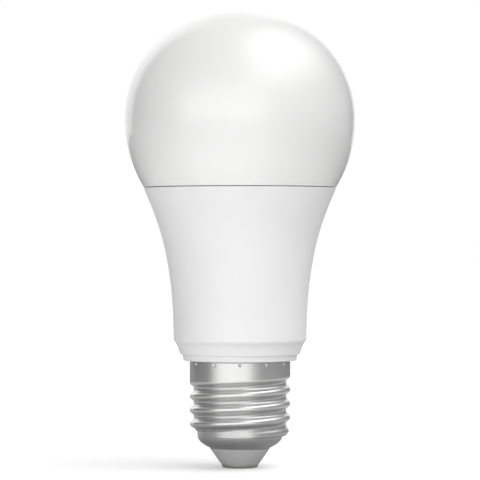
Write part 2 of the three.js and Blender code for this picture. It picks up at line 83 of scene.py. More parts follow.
def turned(name, outline, steps=192, crease=32):
    """A turned piece: its outline in mm is drawn from corner to corner and spun once round the axis.

    The outline closes on itself, or starts and ends on the axis.
    """
    piece = start_piece(name)
    (r, z), *rest = outline
    bpy.ops.transform.translate(value=(r * MM, 0, z * MM))
    for next_r, next_z in rest:
        move = ((next_r - r) * MM, 0, (next_z - z) * MM)
        bpy.ops.mesh.extrude_region_move(TRANSFORM_OT_translate={"value": move})
        r, z = next_r, next_z
    bpy.ops.mesh.select_all(action="SELECT")
    bpy.ops.mesh.spin(steps=steps, angle=math.tau, center=(0, 0, 0), axis=(0, 0, 1))
    bpy.ops.mesh.select_all(action="SELECT")
    bpy.ops.mesh.remove_doubles(threshold=0.002 * MM)
    bpy.ops.mesh.normals_make_consistent(inside=False)
    bpy.ops.object.mode_set(mode="OBJECT")
    bpy.ops.object.shade_smooth_by_angle(angle=math.radians(crease))
    return piece


class Port:
    """One output of a material's nodes. Sums on it add Math nodes to the same material."""

    def __init__(self, tree, socket):
        self.tree = tree
        self.socket = socket

    def node(self, kind, settings, inputs, output=0):
        """Adds a node of a type, with its settings, then with values or links on its sockets."""
        made = self.tree.nodes.new(kind)
        for key, value in settings.items():
            setattr(made, key, value)
        for key, value in inputs.items():
            if isinstance(value, Port):
                self.tree.links.new(value.socket, made.inputs[key])
            else:
                made.inputs[key].default_value = value
        return Port(self.tree, made.outputs[output])

    def math(self, operation, *values):
        return self.node("ShaderNodeMath", {"operation": operation}, dict(enumerate((self, *values))))

    def __add__(self, other):
        return self.math("ADD", other)

    def __sub__(self, other):
        return self.math("SUBTRACT", other)

    def __rsub__(self, other):
        return self * -1 + other

    def __mul__(self, other):
        return self.math("MULTIPLY", other)

    __radd__ = __add__
    __rmul__ = __mul__

    def stretched(self, x, y, z):
        """These coordinates, multiplied on each axis."""
        return self.node("ShaderNodeMapping", {"vector_type": "POINT"}, {"Vector": self, "Scale": (x, y, z)})

    def noise(self, scale, detail=2.0):
        """Cloudy variation from 0 to 1 over these coordinates, in patches of about 1 / scale metres."""
        return self.node("ShaderNodeTexNoise", {}, {"Vector": self, "Scale": scale, "Detail": detail})

    def axis(self, name):
        """The X, Y or Z of these coordinates."""
        return self.node("ShaderNodeSeparateXYZ", {}, {"Vector": self}, output=name)

    def radius(self):
        """Distance of these coordinates from the bulb's axis."""
        flat = self.node("ShaderNodeVectorMath", {"operation": "MULTIPLY"}, {0: self, 1: (1, 1, 0)})
        return self.node("ShaderNodeVectorMath", {"operation": "LENGTH"}, {0: flat}, output="Value")

    def ramp(self, low, high):
        """This value, moved so that low becomes 0 and high becomes 1, and held there."""
        limits = {"Value": self, "From Min": low, "From Max": high}
        return self.node("ShaderNodeMapRange", {"interpolation_type": "SMOOTHSTEP"}, limits)

    def colours(self, first, second):
        """The first colour where this value is 0 and the second where it is 1."""
        first, second = (tone if isinstance(tone, Port) else (*tone, 1) for tone in (first, second))
        inputs = {"Factor": self, 6: first, 7: second}
        return self.node("ShaderNodeMix", {"data_type": "RGBA"}, inputs, output=2)

    def bump(self, strength, depth):
        """A surface normal raised by this value over a depth in metres."""
        return self.node("ShaderNodeBump", {}, {"Height": self, "Strength": strength, "Distance": depth},
                         output="Normal")


class Finish:
    """A Principled material: constants on its shader, and the object's coordinates to work from."""

    def __init__(self, name, constants):
        self.material = bpy.data.materials.new(name)
        self.material.use_nodes = True
        tree = self.material.node_tree
        self.shader = tree.nodes["Principled BSDF"]
        for key, value in constants.items():
            self.shader.inputs[key].default_value = value
        self.coords = Port(tree, tree.nodes.new("ShaderNodeTexCoord").outputs["Object"])

    def feed(self, ports):
        """Links ports to the shader's sockets."""
        for key, port in ports.items():
            self.material.node_tree.links.new(port.socket, self.shader.inputs[key])

    def on(self, *pieces):
        """Gives this finish to pieces as their only material."""
        for piece in pieces:
            if piece.data.materials:
                piece.material_slots[0].material = self.material
            else:
                piece.data.materials.append(self.material)


def tinned_brass():
    """Bright tin with the fine rings that the press tool leaves."""
    tin = Finish("tinned_brass", {"Metallic": 1.0})
    rings = (tin.coords.radius() * 30000).math("SINE")
    worn = tin.coords.noise(900, 4)
    tin.feed({
        "Base Color": worn.colours((0.56, 0.55, 0.53), (0.68, 0.67, 0.65)),
        "Roughness": worn * 0.16 + 0.24,
        "Normal": (rings + worn * 2).bump(0.12, 0.01 * MM),
    })
    return tin


def stands_for(piece, node):
    """Fixes a piece to the bulb in place of a CAD node, which it hides."""
    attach(piece, "root")
    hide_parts(node)


tin = tinned_brass()

contact = turned("centre_contact_cap", [
    (0, 0), (1.2, 0), (2.3, 0),
    *arc((2.3, 1.9), 1.9, -84, -62, 6),
    *arc((4.2, 0.66), 0.57, -62, 0, 8),
    (4.77, 0.85), (1.2, 0.85), (1.2, 8.2),
    *arc((0.9, 8.2), 0.3, 0, 90, 4),
    (0, 8.5),
])
tin.on(contact)
stands_for(contact, "centre_contact")

# ---- Cap insulator --------------------------------------------------------------------------------
# A moulded grey cone that keeps the centre contact away from the screw shell. The edge of the shell is
# held in a groove round it, and the rivet shank of the contact passes through its middle.


def moulded(name, light, dark, roughness, grain=5000, depth=0.01):
    """Plain moulded plastic: a slight cloudiness in the colour and the fine grain of the mould."""
    plastic = Finish(name, {})
    cloud = plastic.coords.noise(60, 3)
    plastic.feed({
        "Base Color": cloud.ramp(0.3, 0.7).colours(dark, light),
        "Roughness": plastic.coords.noise(700, 3) * 0.12 + (roughness - 0.06),
        "Normal": plastic.coords.noise(grain, 3).bump(0.35, depth * MM),
    })
    return plastic


insulator = turned("cap_insulator_cone", [
    (1.4, 0.9), (4.8, 0.9),
    *arc((4.8, 1.1), 0.2, -90, -33, 5),
    (7.75, 4.95),
    *arc((7.6, 5.03), 0.15, -33, 60, 4),
    (7.5, 5.2), (7.5, 5.95), (9.1, 6.75), (9.1, 7.6), (1.4, 7.6), (1.4, 0.9),
])
moulded("pale_grey_resin", (0.66, 0.66, 0.66), (0.62, 0.62, 0.62), 0.5).on(insulator)
stands_for(insulator, "cap_insulator")

# ---- Screw shell ----------------------------------------------------------------------------------
# The E27 shell is drawn from thin sheet as a cup, its round thread is rolled in, and it is plated with
# satin nickel. A ring of punched dents under the top edge locks its smooth band to the housing's neck.
PITCH = 3.629
CREST = 13.1
ROOT_DEPTH = 1.096
SHEET = 0.3
BAND_TOP = 27.7
BOWL_TOP = 8.2
TOP_CREST = 20.38  # height of the highest crest where it starts, on the right
THREAD_START = 7.67  # height at which the lowest crest rises out of the blank, on the left


def smooth(t):
    """An even step from 0 to 1 as t goes from 0 to 1."""
    t = min(1, max(0, t))
    return t * t * (3 - 2 * t)


def knuckle(distance):
    """How deep the thread's surface lies, from 0 at a crest to 1 half a pitch away from it."""
    bend, quarter = 1.025, PITCH / 4
    fall = lambda s: bend - math.sqrt(bend ** 2 - s ** 2)
    s = abs(distance)
    deep = fall(s) if s <= quarter else 2 * fall(quarter) - fall(2 * quarter - s)
    return deep / (2 * fall(quarter))


def crest_radius(turns):
    """Radius of the crest line after a number of turns from its lower end, where it grows from the blank."""
    return 11.1 + (CREST - 11.1) * smooth(turns / 0.7)


def shell_radius(angle, z):
    """Outer radius of the rolled shell at an angle from the right and a height."""
    crest = TOP_CREST + PITCH * angle / math.tau
    band = TOP_CREST + PITCH / 2 * (1 + abs(angle - math.pi) / math.pi)
    run_in = band - crest if angle < math.pi else 0
    if z >= crest + run_in:
        return CREST
    if z > crest:  # the top groove narrows and fades out under the band
        share = run_in / PITCH
        edge = (z - crest) / share
        return CREST - ROOT_DEPTH * share * knuckle(min(edge, PITCH - edge))
    down = (crest - z) / PITCH
    upper = crest - PITCH * math.floor(down)
    reach = [crest_radius((line - THREAD_START) / PITCH) for line in (upper, upper - PITCH)]
    root = 12.0 - 0.5 * (1 - smooth((upper - PITCH - THREAD_START) / PITCH / 0.7))
    below = upper - z
    near, far = (reach[0], below) if below <= PITCH / 2 else (reach[1], PITCH - below)
    thread = near - (near - min(root, near)) * knuckle(far)
    rounded = 11.05 + 1.75 * math.sqrt(max(0, 1 - max(0, (9.9 - z) / 1.7) ** 2))
    return min(thread, rounded + max(0, z - 9.9) * 0.4)


rows = [24.4 - i * 0.18 for i in range(90)]
bowl = [(11.1, BOWL_TOP), (10.95, 6.9), (9.5, 5.95), (7.9, 5.2)]


def bezier(points, steps):
    """Points of a cubic curve in the (radius, height) plane."""
    a, b, c, d = points
    blend = lambda t, k: (
        (1 - t) ** 3 * a[k] + 3 * t * (1 - t) ** 2 * b[k] + 3 * t * t * (1 - t) * c[k] + t ** 3 * d[k]
    )
    return [(blend(i / steps, 0), blend(i / steps, 1)) for i in range(steps + 1)]


blank = [(CREST, BAND_TOP - 0.02 - 0.2 * i) for i in range(16)]
shell = turned("rolled_screw_shell", [*blank, *[(CREST, z) for z in rows], *bezier(bowl, 24)], steps=240)
for vertex in shell.data.vertices:
    x, y, z = (value / MM for value in vertex.co)
    if BOWL_TOP < z < rows[0] + 0.01:
        pressed = shell_radius(math.atan2(y, x) % math.tau, z) / math.hypot(x, y)
        vertex.co.x *= pressed
        vertex.co.y *= pressed

# the dents: the band is cut finer round each one, and the punch pushes it in
DENTS = 12
DENT_HEIGHT = 27.1
DENT_REACH = 0.52
bpy.ops.object.select_all(action="DESELECT")
shell.select_set(True)
bpy.context.view_layer.objects.active = shell
punches = [math.tau * i / DENTS - math.pi / 2 for i in range(DENTS)]
punch_points = [(CREST * math.cos(a), CREST * math.sin(a), DENT_HEIGHT) for a in punches]
mesh = shell.data
for polygon in mesh.polygons:
    middle = [value / MM for value in polygon.center]
    polygon.select = min(math.dist(middle, point) for point in punch_points) < DENT_REACH + 0.04
for edge in mesh.edges:
    edge.select = False
for vertex in mesh.vertices:
    vertex.select = False
bpy.ops.object.mode_set(mode="EDIT")
bpy.ops.mesh.select_mode(type="FACE")
bpy.ops.mesh.subdivide(number_cuts=5)
bpy.ops.mesh.select_all(action="SELECT")
bpy.ops.mesh.normals_make_consistent(inside=False)
bpy.ops.object.mode_set(mode="OBJECT")
for vertex in mesh.vertices:
    x, y, z = (value / MM for value in vertex.co)
    reach = min(math.dist((x, y, z), point) for point in punch_points)
    if reach < DENT_REACH:
        depth = 0.3 * (1 - smooth(reach / DENT_REACH))
        inward = 1 - depth / math.hypot(x, y)
        vertex.co.x *= inward
        vertex.co.y *= inward


def thickened(piece, thickness):
    """Gives a sheet its thickness in mm, grown inwards, and applies it."""
    sheet = piece.modifiers.new("thickness", "SOLIDIFY")
    sheet.thickness = thickness * MM
    sheet.offset = -1
    bpy.ops.object.select_all(action="DESELECT")
    piece.select_set(True)
    bpy.context.view_layer.objects.active = piece
    bpy.ops.object.modifier_apply(modifier=sheet.name)
    bpy.ops.object.shade_smooth_by_angle(angle=math.radians(40))


thickened(shell, SHEET)


def satin_nickel():
    """Rolled nickel plate: fine lines run round it, and each crest is painted lighter than the grooves: a
    painted highlight on the crest and painted shade in the grooves.
    """
    nickel = Finish("satin_nickel", {"Metallic": 1.0})
    lines = nickel.coords.stretched(60, 60, 6000).noise(1, 3)
    patches = nickel.coords.noise(350, 3)
    # the thread's crest line: base colour painted lighter there as a painted highlight and darker in the
    # grooves as painted shade; it is also made a little smoother there
    painted_crest_highlight = nickel.coords.radius().ramp(11.9 * MM, 13.0 * MM)
    nickel.feed({
        "Base Color": (patches * 0.4 + painted_crest_highlight * 0.6).colours((0.52, 0.52, 0.518), (0.73, 0.73, 0.725)),
        "Roughness": 0.3 + lines * 0.05 - painted_crest_highlight * 0.04 + patches * 0.03,
        "Normal": lines.bump(0.05, 0.01 * MM),
    })
    return nickel


satin_nickel().on(shell)
stands_for(shell, "screw_shell")

# ---- Driver board ---------------------------------------------------------------------------------
# A glass-epoxy board stands upright in the bulb and carries the mains driver. Green solder mask covers
# its copper tracks, and tinned spots mark where leads pass through it.


def circuit_board(name, bare, track, across="X", up="Z"):
    """Solder mask over copper tracks, with tinned lead holes, in the plane of two axes."""
    board = Finish(name, {"Coat Weight": 0.3, "Coat Roughness": 0.2})
    plane = {"X": board.coords.axis(across), "Y": board.coords.axis(up)}
    flat = board.coords.node("ShaderNodeCombineXYZ", {}, plane)
    routes = {"Vector": flat, "Scale": 170, "Mortar Size": 0.05, "Mortar Smooth": 0.2}
    layout = {"offset": 0.37, "squash": 0.6, "squash_frequency": 3}
    tracks = flat.node("ShaderNodeTexBrick", layout, routes, "Fac")
    cells = {"Vector": flat, "Scale": 260}
    spots = flat.node("ShaderNodeTexVoronoi", {"voronoi_dimensions": "2D"}, cells, "Distance")
    holes = spots.ramp(0.16, 0.13)
    cloud = board.coords.noise(400, 3)
    mask = (tracks * 0.8 + cloud * 0.2).colours(bare, track)
    board.feed({
        "Base Color": holes.colours(mask, (0.72, 0.72, 0.7)),
        "Metallic": holes,
        "Roughness": cloud * 0.15 + 0.3,
        "Normal": (tracks + holes * 0.5).bump(0.4, 0.04 * MM),
    })
    return board


circuit_board("green_solder_mask", (0.018, 0.11, 0.05), (0.03, 0.2, 0.09)).on(frame["nodes"]["driver_board"])

# ---- Mains wires ----------------------------------------------------------------------------------
# Two short silicone-sleeved wires bring the mains to the driver board: the red one from the rivet of the
# centre contact, the black one from the edge of the screw shell, where it is trapped against the metal.


def wire(name, route, diameter, sides=6, closed=False):
    """A round wire of some mm that bends smoothly through its route."""
    bpy.ops.object.select_all(action="DESELECT")
    bpy.ops.curve.primitive_bezier_curve_add(radius=MM)
    piece = bpy.context.object
    spline = piece.data.splines[0]
    spline.bezier_points.add(len(route) - 2)
    for knot, point in zip(spline.bezier_points, route):
        knot.co = [value * MM for value in point]
        knot.handle_left_type = knot.handle_right_type = "AUTO"
    spline.use_cyclic_u = closed
    piece.data.dimensions = "3D"
    piece.data.resolution_u = 8
    piece.data.bevel_depth = diameter / 2 * MM
    piece.data.bevel_resolution = sides
    piece.data.use_fill_caps = True
    bpy.ops.object.convert(target="MESH")
    piece = bpy.context.object
    piece.name = piece.data.name = name
    bpy.ops.object.mode_set(mode="EDIT")
    bpy.ops.mesh.select_all(action="SELECT")
    bpy.ops.mesh.remove_doubles(threshold=0.002 * MM)
    bpy.ops.mesh.normals_make_consistent(inside=False)
    bpy.ops.object.mode_set(mode="OBJECT")
    bpy.ops.object.shade_smooth_by_angle(angle=math.radians(50))
    return piece


BOARD_FACE = 0.8
CLEARANCE = 0.05
FRONT = -BOARD_FACE - CLEARANCE  # parts on the front of the driver board rest here
BACK = BOARD_FACE + CLEARANCE
WIRE = 1.2
live = wire("live_lead", [
    (0, 0, 8.56), (0, -0.3, 9.8), (-2.4, -1.9, 11.2), (-3.8, FRONT - 0.9, 13), (-3.8, FRONT - 0.9, 14.4),
], WIRE)
neutral = wire("neutral_lead", [
    (5, BACK + 0.9, 16.5), (5, BACK + 0.9, 14.5), (5.8, BACK + 0.9, 12.4), (8.4, 0.5, 11.6), (11.25, 0, 11.7),
], WIRE)
moulded("red_sleeving", (0.5, 0.035, 0.025), (0.42, 0.025, 0.02), 0.42, 2500).on(live)
moulded("black_sleeving", (0.022, 0.022, 0.024), (0.012, 0.012, 0.014), 0.42, 2500).on(neutral)
stands_for(live, "live_wire")
stands_for(neutral, "neutral_wire")

# ---- Rectifier, chips and transistors -------------------------------------------------------------
# Moulded semiconductor packages on the back of the driver board. Each has a black epoxy body with a
# parting line round its middle, and tinned legs bent down to the board.
LEG = 0.4
LEG_SHEET = 0.16
LEG_PITCH = 1.27
FOOT = BACK + LEG_SHEET  # the feet lie just clear of the board


def block(name, low, high, rounding, segments=2):
    """A block between two corners in mm, with rounded edges."""
    bpy.ops.object.select_all(action="DESELECT")
    bpy.ops.mesh.primitive_cube_add(size=1)
    piece = bpy.context.object
    piece.name = piece.data.name = name
    bpy.ops.object.mode_set(mode="EDIT")
    bpy.ops.transform.resize(value=[(b - a) * MM for a, b in zip(low, high)])
    bpy.ops.transform.translate(value=[(a + b) / 2 * MM for a, b in zip(low, high)])
    bpy.ops.mesh.bevel(offset=rounding * MM, segments=segments, affect="EDGES")
    bpy.ops.object.mode_set(mode="OBJECT")
    bpy.ops.object.shade_smooth_by_angle(angle=math.radians(40))
    return piece


def legs_of(name, x, z, height, top, count):
    """The bent legs of a package: strips that leave its two long sides and step down to the board."""
    piece = start_piece(name)
    bpy.ops.mesh.delete(type="VERT")
    for side in (-1, 1):
        for i in range(count):
            left = x + (i - (count - 1) / 2) * LEG_PITCH - LEG / 2
            edge = z + side * (height / 2 - 0.1)
            line = [
                (edge, top), (edge + side * 0.3, top), (edge + side * 0.45, FOOT), (edge + side * 0.95, FOOT),
            ]
            bpy.ops.mesh.select_all(action="DESELECT")
            bpy.ops.mesh.primitive_plane_add(size=MM)
            bpy.ops.mesh.merge(type="CENTER")
            bpy.ops.transform.translate(value=(left * MM, line[0][1] * MM, line[0][0] * MM))
            for (z0, y0), (z1, y1) in zip(line, line[1:]):
                move = (0, (y1 - y0) * MM, (z1 - z0) * MM)
                bpy.ops.mesh.extrude_region_move(TRANSFORM_OT_translate={"value": move})
            bpy.ops.mesh.select_linked()
            bpy.ops.mesh.extrude_region_move(TRANSFORM_OT_translate={"value": (LEG * MM, 0, 0)})
            bpy.ops.mesh.select_linked()
            bpy.ops.mesh.solidify(thickness=LEG_SHEET * MM)
    bpy.ops.mesh.select_all(action="SELECT")
    bpy.ops.mesh.normals_make_consistent(inside=False)
    bpy.ops.object.mode_set(mode="OBJECT")
    return piece


def package(node, x, z, width, height, depth, legs):
    """A package body with drafted sides, and its legs."""
    low, high = (x - width / 2, BACK + 0.15, z - height / 2), (x + width / 2, BACK + depth, z + height / 2)
    body = block(node + "_body", low, high, 0.06, 1)
    middle = (low[1] + high[1]) / 2
    bpy.ops.object.mode_set(mode="EDIT")
    bpy.ops.mesh.select_all(action="SELECT")
    bpy.ops.mesh.bisect(plane_co=(0, middle * MM, 0), plane_no=(0, 1, 0))
    bpy.ops.object.mode_set(mode="OBJECT")
    for vertex in body.data.vertices:  # the sides lean in from the parting line
        lean = abs(vertex.co.y / MM - middle) * 0.13 * MM
        vertex.co.x -= math.copysign(lean, vertex.co.x - x * MM)
        vertex.co.z -= math.copysign(lean, vertex.co.z - z * MM)
    feet = legs_of(node + "_legs", x, z, height, middle, legs)
    resin.on(body)
    tin.on(feet)
    stands_for(body, node)
    stands_for(feet, node)


resin = moulded("chip_epoxy", (0.02, 0.02, 0.022), (0.012, 0.012, 0.013), 0.6, 9000, 0.02)
package("bridge_rectifier", 2.6, 21, 4.8, 3.9, 1.6, 2)
package("control_chip", 0, 43, 4.9, 3.9, 1.6, 4)
package("output_diode", -7, 49.5, 2.6, 4.2, 2.2, 1)
package("dimming_transistor_warm", -7, 60, 3, 1.4, 1.1, 2)
package("dimming_transistor_cool", 7, 60, 3, 1.4, 1.1, 2)

# ---- Fusible resistor -----------------------------------------------------------------------------
# The mains fuse: a wire-wound resistor in pale blue lacquer with swollen ends and painted value rings.
# It lies along the back of the board, and its leads turn down into it.


def moved(piece, x, y):
    """Moves a turned piece off the bulb's axis, with its place kept in its mesh."""
    piece.location = (x * MM, y * MM, 0)
    bpy.ops.object.transform_apply(location=True, rotation=False, scale=False)
    return piece


def leads_of(name, routes, diameter=0.6):
    """Round leads, one through each route, as one piece."""
    made = [wire(name, route, diameter, 3) for route in routes]
    bpy.ops.object.select_all(action="DESELECT")
    for part in made:
        part.select_set(True)
    bpy.context.view_layer.objects.active = made[0]
    bpy.ops.object.join()
    made[0].name = made[0].data.name = name
    tin.on(made[0])
    return made[0]


FUSE_X, FUSE_Y = -5.4, 2.55
fuse = moved(turned("fusible_resistor_body", [
    (0, 16.5), (0.9, 16.5), *arc((0.9, 17.1), 0.6, -90, 0, 6), *arc((0.75, 18.0), 0.8, 35, 75, 3)[:1],
    (1.32, 18.6), (1.3, 21), (1.32, 23.4), *arc((0.9, 24.9), 0.65, -20, 90, 8), (0, 25.55),
], steps=40), FUSE_X, FUSE_Y)
fuse_leads = leads_of("fusible_resistor_leads", [
    [(FUSE_X, FUSE_Y, z), (FUSE_X, FUSE_Y, z + side * 0.6),
     (FUSE_X, FUSE_Y - 0.5, z + side), (FUSE_X, BACK, z + side)]
    for z, side in ((16.5, -1), (25.5, 1))
])
rings = Finish("blue_lacquer", {"Coat Weight": 0.4, "Coat Roughness": 0.2})
height = rings.coords.axis("Z")
band = lambda z: height.ramp((z - 0.35) * MM, (z - 0.3) * MM) * height.ramp((z + 0.35) * MM, (z + 0.3) * MM)
lacquer = rings.coords.noise(500, 3)
painted = (band(18.2) + band(19.7) + band(21.2) + band(23.8)).math("MINIMUM", 1.0)
rings.feed({
    "Base Color": painted.colours((0.2, 0.38, 0.44), (0.16, 0.05, 0.02)),
    "Roughness": lacquer * 0.2 + 0.3,
    "Normal": lacquer.bump(0.3, 0.03 * MM),
})
rings.on(fuse)
stands_for(fuse, "fusible_resistor")
stands_for(fuse_leads, "fusible_resistor")

# ---- Electrolytic capacitors ----------------------------------------------------------------------
# Aluminium cans in a shrunk black sleeve: one smooths the mains, one the supply of the LEDs. A groove
# is rolled round the rubber bung end, and the closed end is slightly sunk. Two bent leads go to the board.
CAN = 4.0
CAN_Y = FRONT - 0.1 - CAN


def capacitor(name, x, bottom, top, lead_z):
    """A can between two heights, with its leads at the end nearer to lead_z."""
    up = lead_z > top
    bung, lid = (top, bottom) if up else (bottom, top)
    side = -1 if up else 1  # from the bung towards the closed end
    profile = [
        (0, 0.5), (2.9, 0.5), (3.1, 0.1), (3.4, 0), (3.75, 0.05), (3.95, 0.3), (3.97, 1.1),
        (3.78, 1.45), (3.66, 1.75), (3.78, 2.05), (3.97, 2.4), (3.98, 2.8),
    ]
    length = top - bottom
    profile += [
        (3.98, length - 0.5), (3.88, length - 0.15), (3.6, length),
        (3.3, length - 0.03), (3.2, length - 0.15), (0, length - 0.15),
    ]
    can = moved(turned(name + "_can", [(r, bung + side * along) for r, along in profile], steps=64), x, CAN_Y)
    toward = 1 if up else -1
    leads = leads_of(name + "_leads", [
        [(x + across, CAN_Y, bung - toward * 0.6), (x + across, CAN_Y, lead_z - toward * 0.5),
         (x + across, CAN_Y + 0.5, lead_z), (x + across, FRONT, lead_z)]
        for across in (-1.75, 1.75)
    ])
    sleeve = Finish(name + "_sleeve", {"Coat Weight": 0.5, "Coat Roughness": 0.15})
    ahead = sleeve.coords.axis("Z") * side
    end = ahead.ramp((side * lid - 0.3) * MM, (side * lid - 0.28) * MM)
    end += ahead.ramp((side * bung + 0.2) * MM, (side * bung + 0.05) * MM)
    stripe = sleeve.coords.axis("X").ramp((x + 3.1) * MM, (x + 3.15) * MM) * (1 - end)
    plastic = stripe.colours((0.016, 0.02, 0.03), (0.42, 0.44, 0.46))
    cloud = sleeve.coords.noise(800, 3)
    sleeve.feed({
        "Base Color": end.colours(plastic, (0.6, 0.6, 0.6)),
        "Metallic": end,
        "Roughness": cloud * 0.15 + 0.25,
        "Normal": cloud.bump(0.15, 0.02 * MM),
    })
    sleeve.on(can)
    stands_for(can, name)
    stands_for(leads, name)


capacitor("input_capacitor", 0, 14.5, 28.2, 29.3)
capacitor("output_capacitor", -5.5, 54.3, 65.8, 53.3)

# ---- Film capacitor -------------------------------------------------------------------------------
# A wound film capacitor dipped in ochre epoxy, which leaves soft corners and a slightly wavy skin.
film = block("film_capacitor_body", (-4.2, FRONT - 4, 31), (4.2, FRONT, 38.4), 0.7, 5)
moulded("ochre_epoxy", (0.58, 0.33, 0.06), (0.5, 0.27, 0.045), 0.32, 500, 0.08).on(film)
stands_for(film, "film_capacitor")

# ---- Choke ----------------------------------------------------------------------------------------
# The filter choke is a ferrite bobbin on the back of the board, wound full of enamelled copper wire.
CHOKE_Y = 4.4


def ferrite_finish():
    """Pressed and fired ferrite: dark grey, dull, with a fine pitted skin."""
    fired = Finish("fired_ferrite", {})
    pits = fired.coords.noise(4000, 4)
    fired.feed({
        "Base Color": pits.ramp(0.35, 0.65).colours((0.022, 0.022, 0.024), (0.05, 0.05, 0.052)),
        "Roughness": pits * 0.3 + 0.5,
        "Normal": pits.bump(0.4, 0.02 * MM),
    })
    return fired


def copper_finish(name, metallic_tone, rubbed_tone, lacquer):
    """Copper, under clear lacquer or bare."""
    copper = Finish(name, {"Metallic": 1.0, "Coat Weight": lacquer, "Coat Roughness": 0.15})
    tone = copper.coords.noise(1500, 3)
    copper.feed({
        "Base Color": tone.ramp(0.3, 0.7).colours(metallic_tone, rubbed_tone),
        "Roughness": tone * 0.2 + 0.2,
        "Normal": tone.bump(0.1, 0.01 * MM),
    })
    return copper


ferrite = ferrite_finish()
enamelled = copper_finish("lacquered_copper", (0.42, 0.13, 0.045), (0.6, 0.22, 0.08), 0.8)
core = moved(turned("choke_core", [
    (0, 26.6), (3.3, 26.6), (3.5, 26.8), (3.5, 27.6), (3.3, 27.8), (1.8, 27.8), (1.6, 28.0), (1.6, 34.2),
    (1.8, 34.4), (3.3, 34.4), (3.5, 34.6), (3.5, 35.4), (3.3, 35.6), (0, 35.6),
], steps=64), 0, CHOKE_Y)
TURN = 0.385
turns = [point for i in range(16) for point in arc((2.9, 28.02 + TURN * i), TURN / 2, -80, 80, 4)]
winding = moved(turned("choke_winding", [
    (1.75, 27.9), (2.85, 27.9), *turns, (2.85, 34.05), (1.75, 34.05), (1.75, 27.9),
], steps=64), 0, CHOKE_Y)
ferrite.on(core)
enamelled.on(winding)
stands_for(core, "inductor_core")
stands_for(winding, "inductor_winding")

# ---- Transformer ----------------------------------------------------------------------------------
# An E-shaped ferrite core carries a black bobbin wound with enamelled copper. It isolates the LEDs from
# the mains and is glued to the front of the board.
COIL_Y, COIL_Z = -5.9, 46.5


def wound_layer(name, half_x, half_y, corner, low, high, wire_size):
    """A layer of round wire turns on a rectangular former, each a closed ring with rounded corners."""
    corners = [(half_x - corner, half_y - corner, 0), (corner - half_x, half_y - corner, 90),
               (corner - half_x, corner - half_y, 180), (half_x - corner, corner - half_y, 270)]
    bends = [point for cx, cy, start in corners for point in arc((cx, cy), corner, start, start + 90, 3)]
    ring = [(x, COIL_Y + y, low + wire_size / 2) for x, y in bends]
    piece = wire(name, ring, wire_size, 2, closed=True)
    stack = piece.modifiers.new("turns", "ARRAY")
    stack.use_relative_offset = False
    stack.use_constant_offset = True
    stack.constant_offset_displace = (0, 0, wire_size * MM)
    stack.count = int((high - low) / wire_size)
    bpy.ops.object.modifier_apply(modifier=stack.name)
    return piece


layer = wound_layer("transformer_turns", 4.35, 4.25, 1.2, COIL_Z - 3.55, COIL_Z + 3.55, 0.3)
enamelled.on(layer)
ferrite.on(frame["nodes"]["transformer_core"])
black = moulded("black_moulding", (0.022, 0.022, 0.023), (0.014, 0.014, 0.015), 0.5)
black.on(frame["nodes"]["transformer_bobbin"])
stands_for(layer, "transformer_winding")

# ---- Radio module ---------------------------------------------------------------------------------
# A small blue board stands behind the driver board on four pins and reaches up through the LED board. A
# pressed tin can shields its radio chip, and a folded copper track at its top end is the antenna.


def joined(name, parts):
    """Several objects as one piece."""
    bpy.ops.object.select_all(action="DESELECT")
    for part in parts:
        part.select_set(True)
    bpy.context.view_layer.objects.active = parts[0]
    bpy.ops.object.join()
    parts[0].name = parts[0].data.name = name
    return parts[0]


PIN_PITCH = 2.54
PIN = 0.32  # half the width of a square pin
RADIO_BACK = 5.45
SHIELD_TOP = RADIO_BACK + 2
circuit_board("blue_solder_mask", (0.008, 0.03, 0.11), (0.014, 0.06, 0.2)).on(frame["nodes"]["radio_board"])
for i in range(4):
    x = (i - 1.5) * PIN_PITCH
    low, high = (x - PIN, BACK, 58.5 - PIN), (x + PIN, 4.55, 58.5 + PIN)
    pin = block(f"radio_pin_square_{i + 1}", low, high, 0.08, 1)
    tin.on(pin)
    stands_for(pin, f"radio_pin_{i + 1}")

shield = block("radio_shield_can", (-5.5, RADIO_BACK, 60), (5.5, SHIELD_TOP, 67.6), 0.35, 4)
bpy.ops.object.mode_set(mode="EDIT")
bpy.ops.mesh.select_all(action="SELECT")
bpy.ops.mesh.bisect(plane_co=(0, (RADIO_BACK + 0.4) * MM, 0), plane_no=(0, -1, 0), clear_outer=True)
bpy.ops.mesh.select_all(action="DESELECT")
bpy.ops.mesh.select_non_manifold()
bpy.ops.mesh.extrude_region_move(TRANSFORM_OT_translate={"value": (0, -0.4 * MM, 0)})
bpy.ops.object.mode_set(mode="OBJECT")
thickened(shield, 0.2)
drawn_tin = Finish("drawn_tin", {"Metallic": 1.0})
brushing = drawn_tin.coords.stretched(200, 200, 9000).noise(1, 3)
drawn_tin.feed({
    "Base Color": brushing.colours((0.6, 0.6, 0.58), (0.74, 0.73, 0.71)),
    "Roughness": brushing * 0.15 + 0.22,
    "Normal": brushing.bump(0.1, 0.01 * MM),
})
drawn_tin.on(shield)
stands_for(shield, "radio_shield")
radio_chip = block("radio_chip_body", (-2.5, RADIO_BACK, 61.3), (2.5, RADIO_BACK + 0.9, 66.3), 0.06, 1)
resin.on(radio_chip)
stands_for(radio_chip, "radio_chip")

TRACE = 0.7
REACH = 6.2
RISE = 1.7
strip = lambda i, x0, x1, z0, z1: block(
    f"antenna_run_{i}", (x0, RADIO_BACK, z0), (x1, RADIO_BACK + 0.15, z1), 0.04, 1
)
runs = [strip(0, -REACH, TRACE - REACH, 70.5, 72.5)]
for i in range(6):
    z = 72.5 + i * RISE
    runs.append(strip(2 * i + 1, -REACH, REACH, z, z + TRACE))
    if i < 5:
        edge = REACH - TRACE if i % 2 == 0 else -REACH
        runs.append(strip(2 * i + 2, edge, edge + TRACE, z + TRACE, z + RISE))
antenna = joined("radio_antenna_trace", runs)
copper_finish("gilded_copper", (0.62, 0.36, 0.13), (0.75, 0.48, 0.2), 0.0).on(antenna)
stands_for(antenna, "radio_antenna")

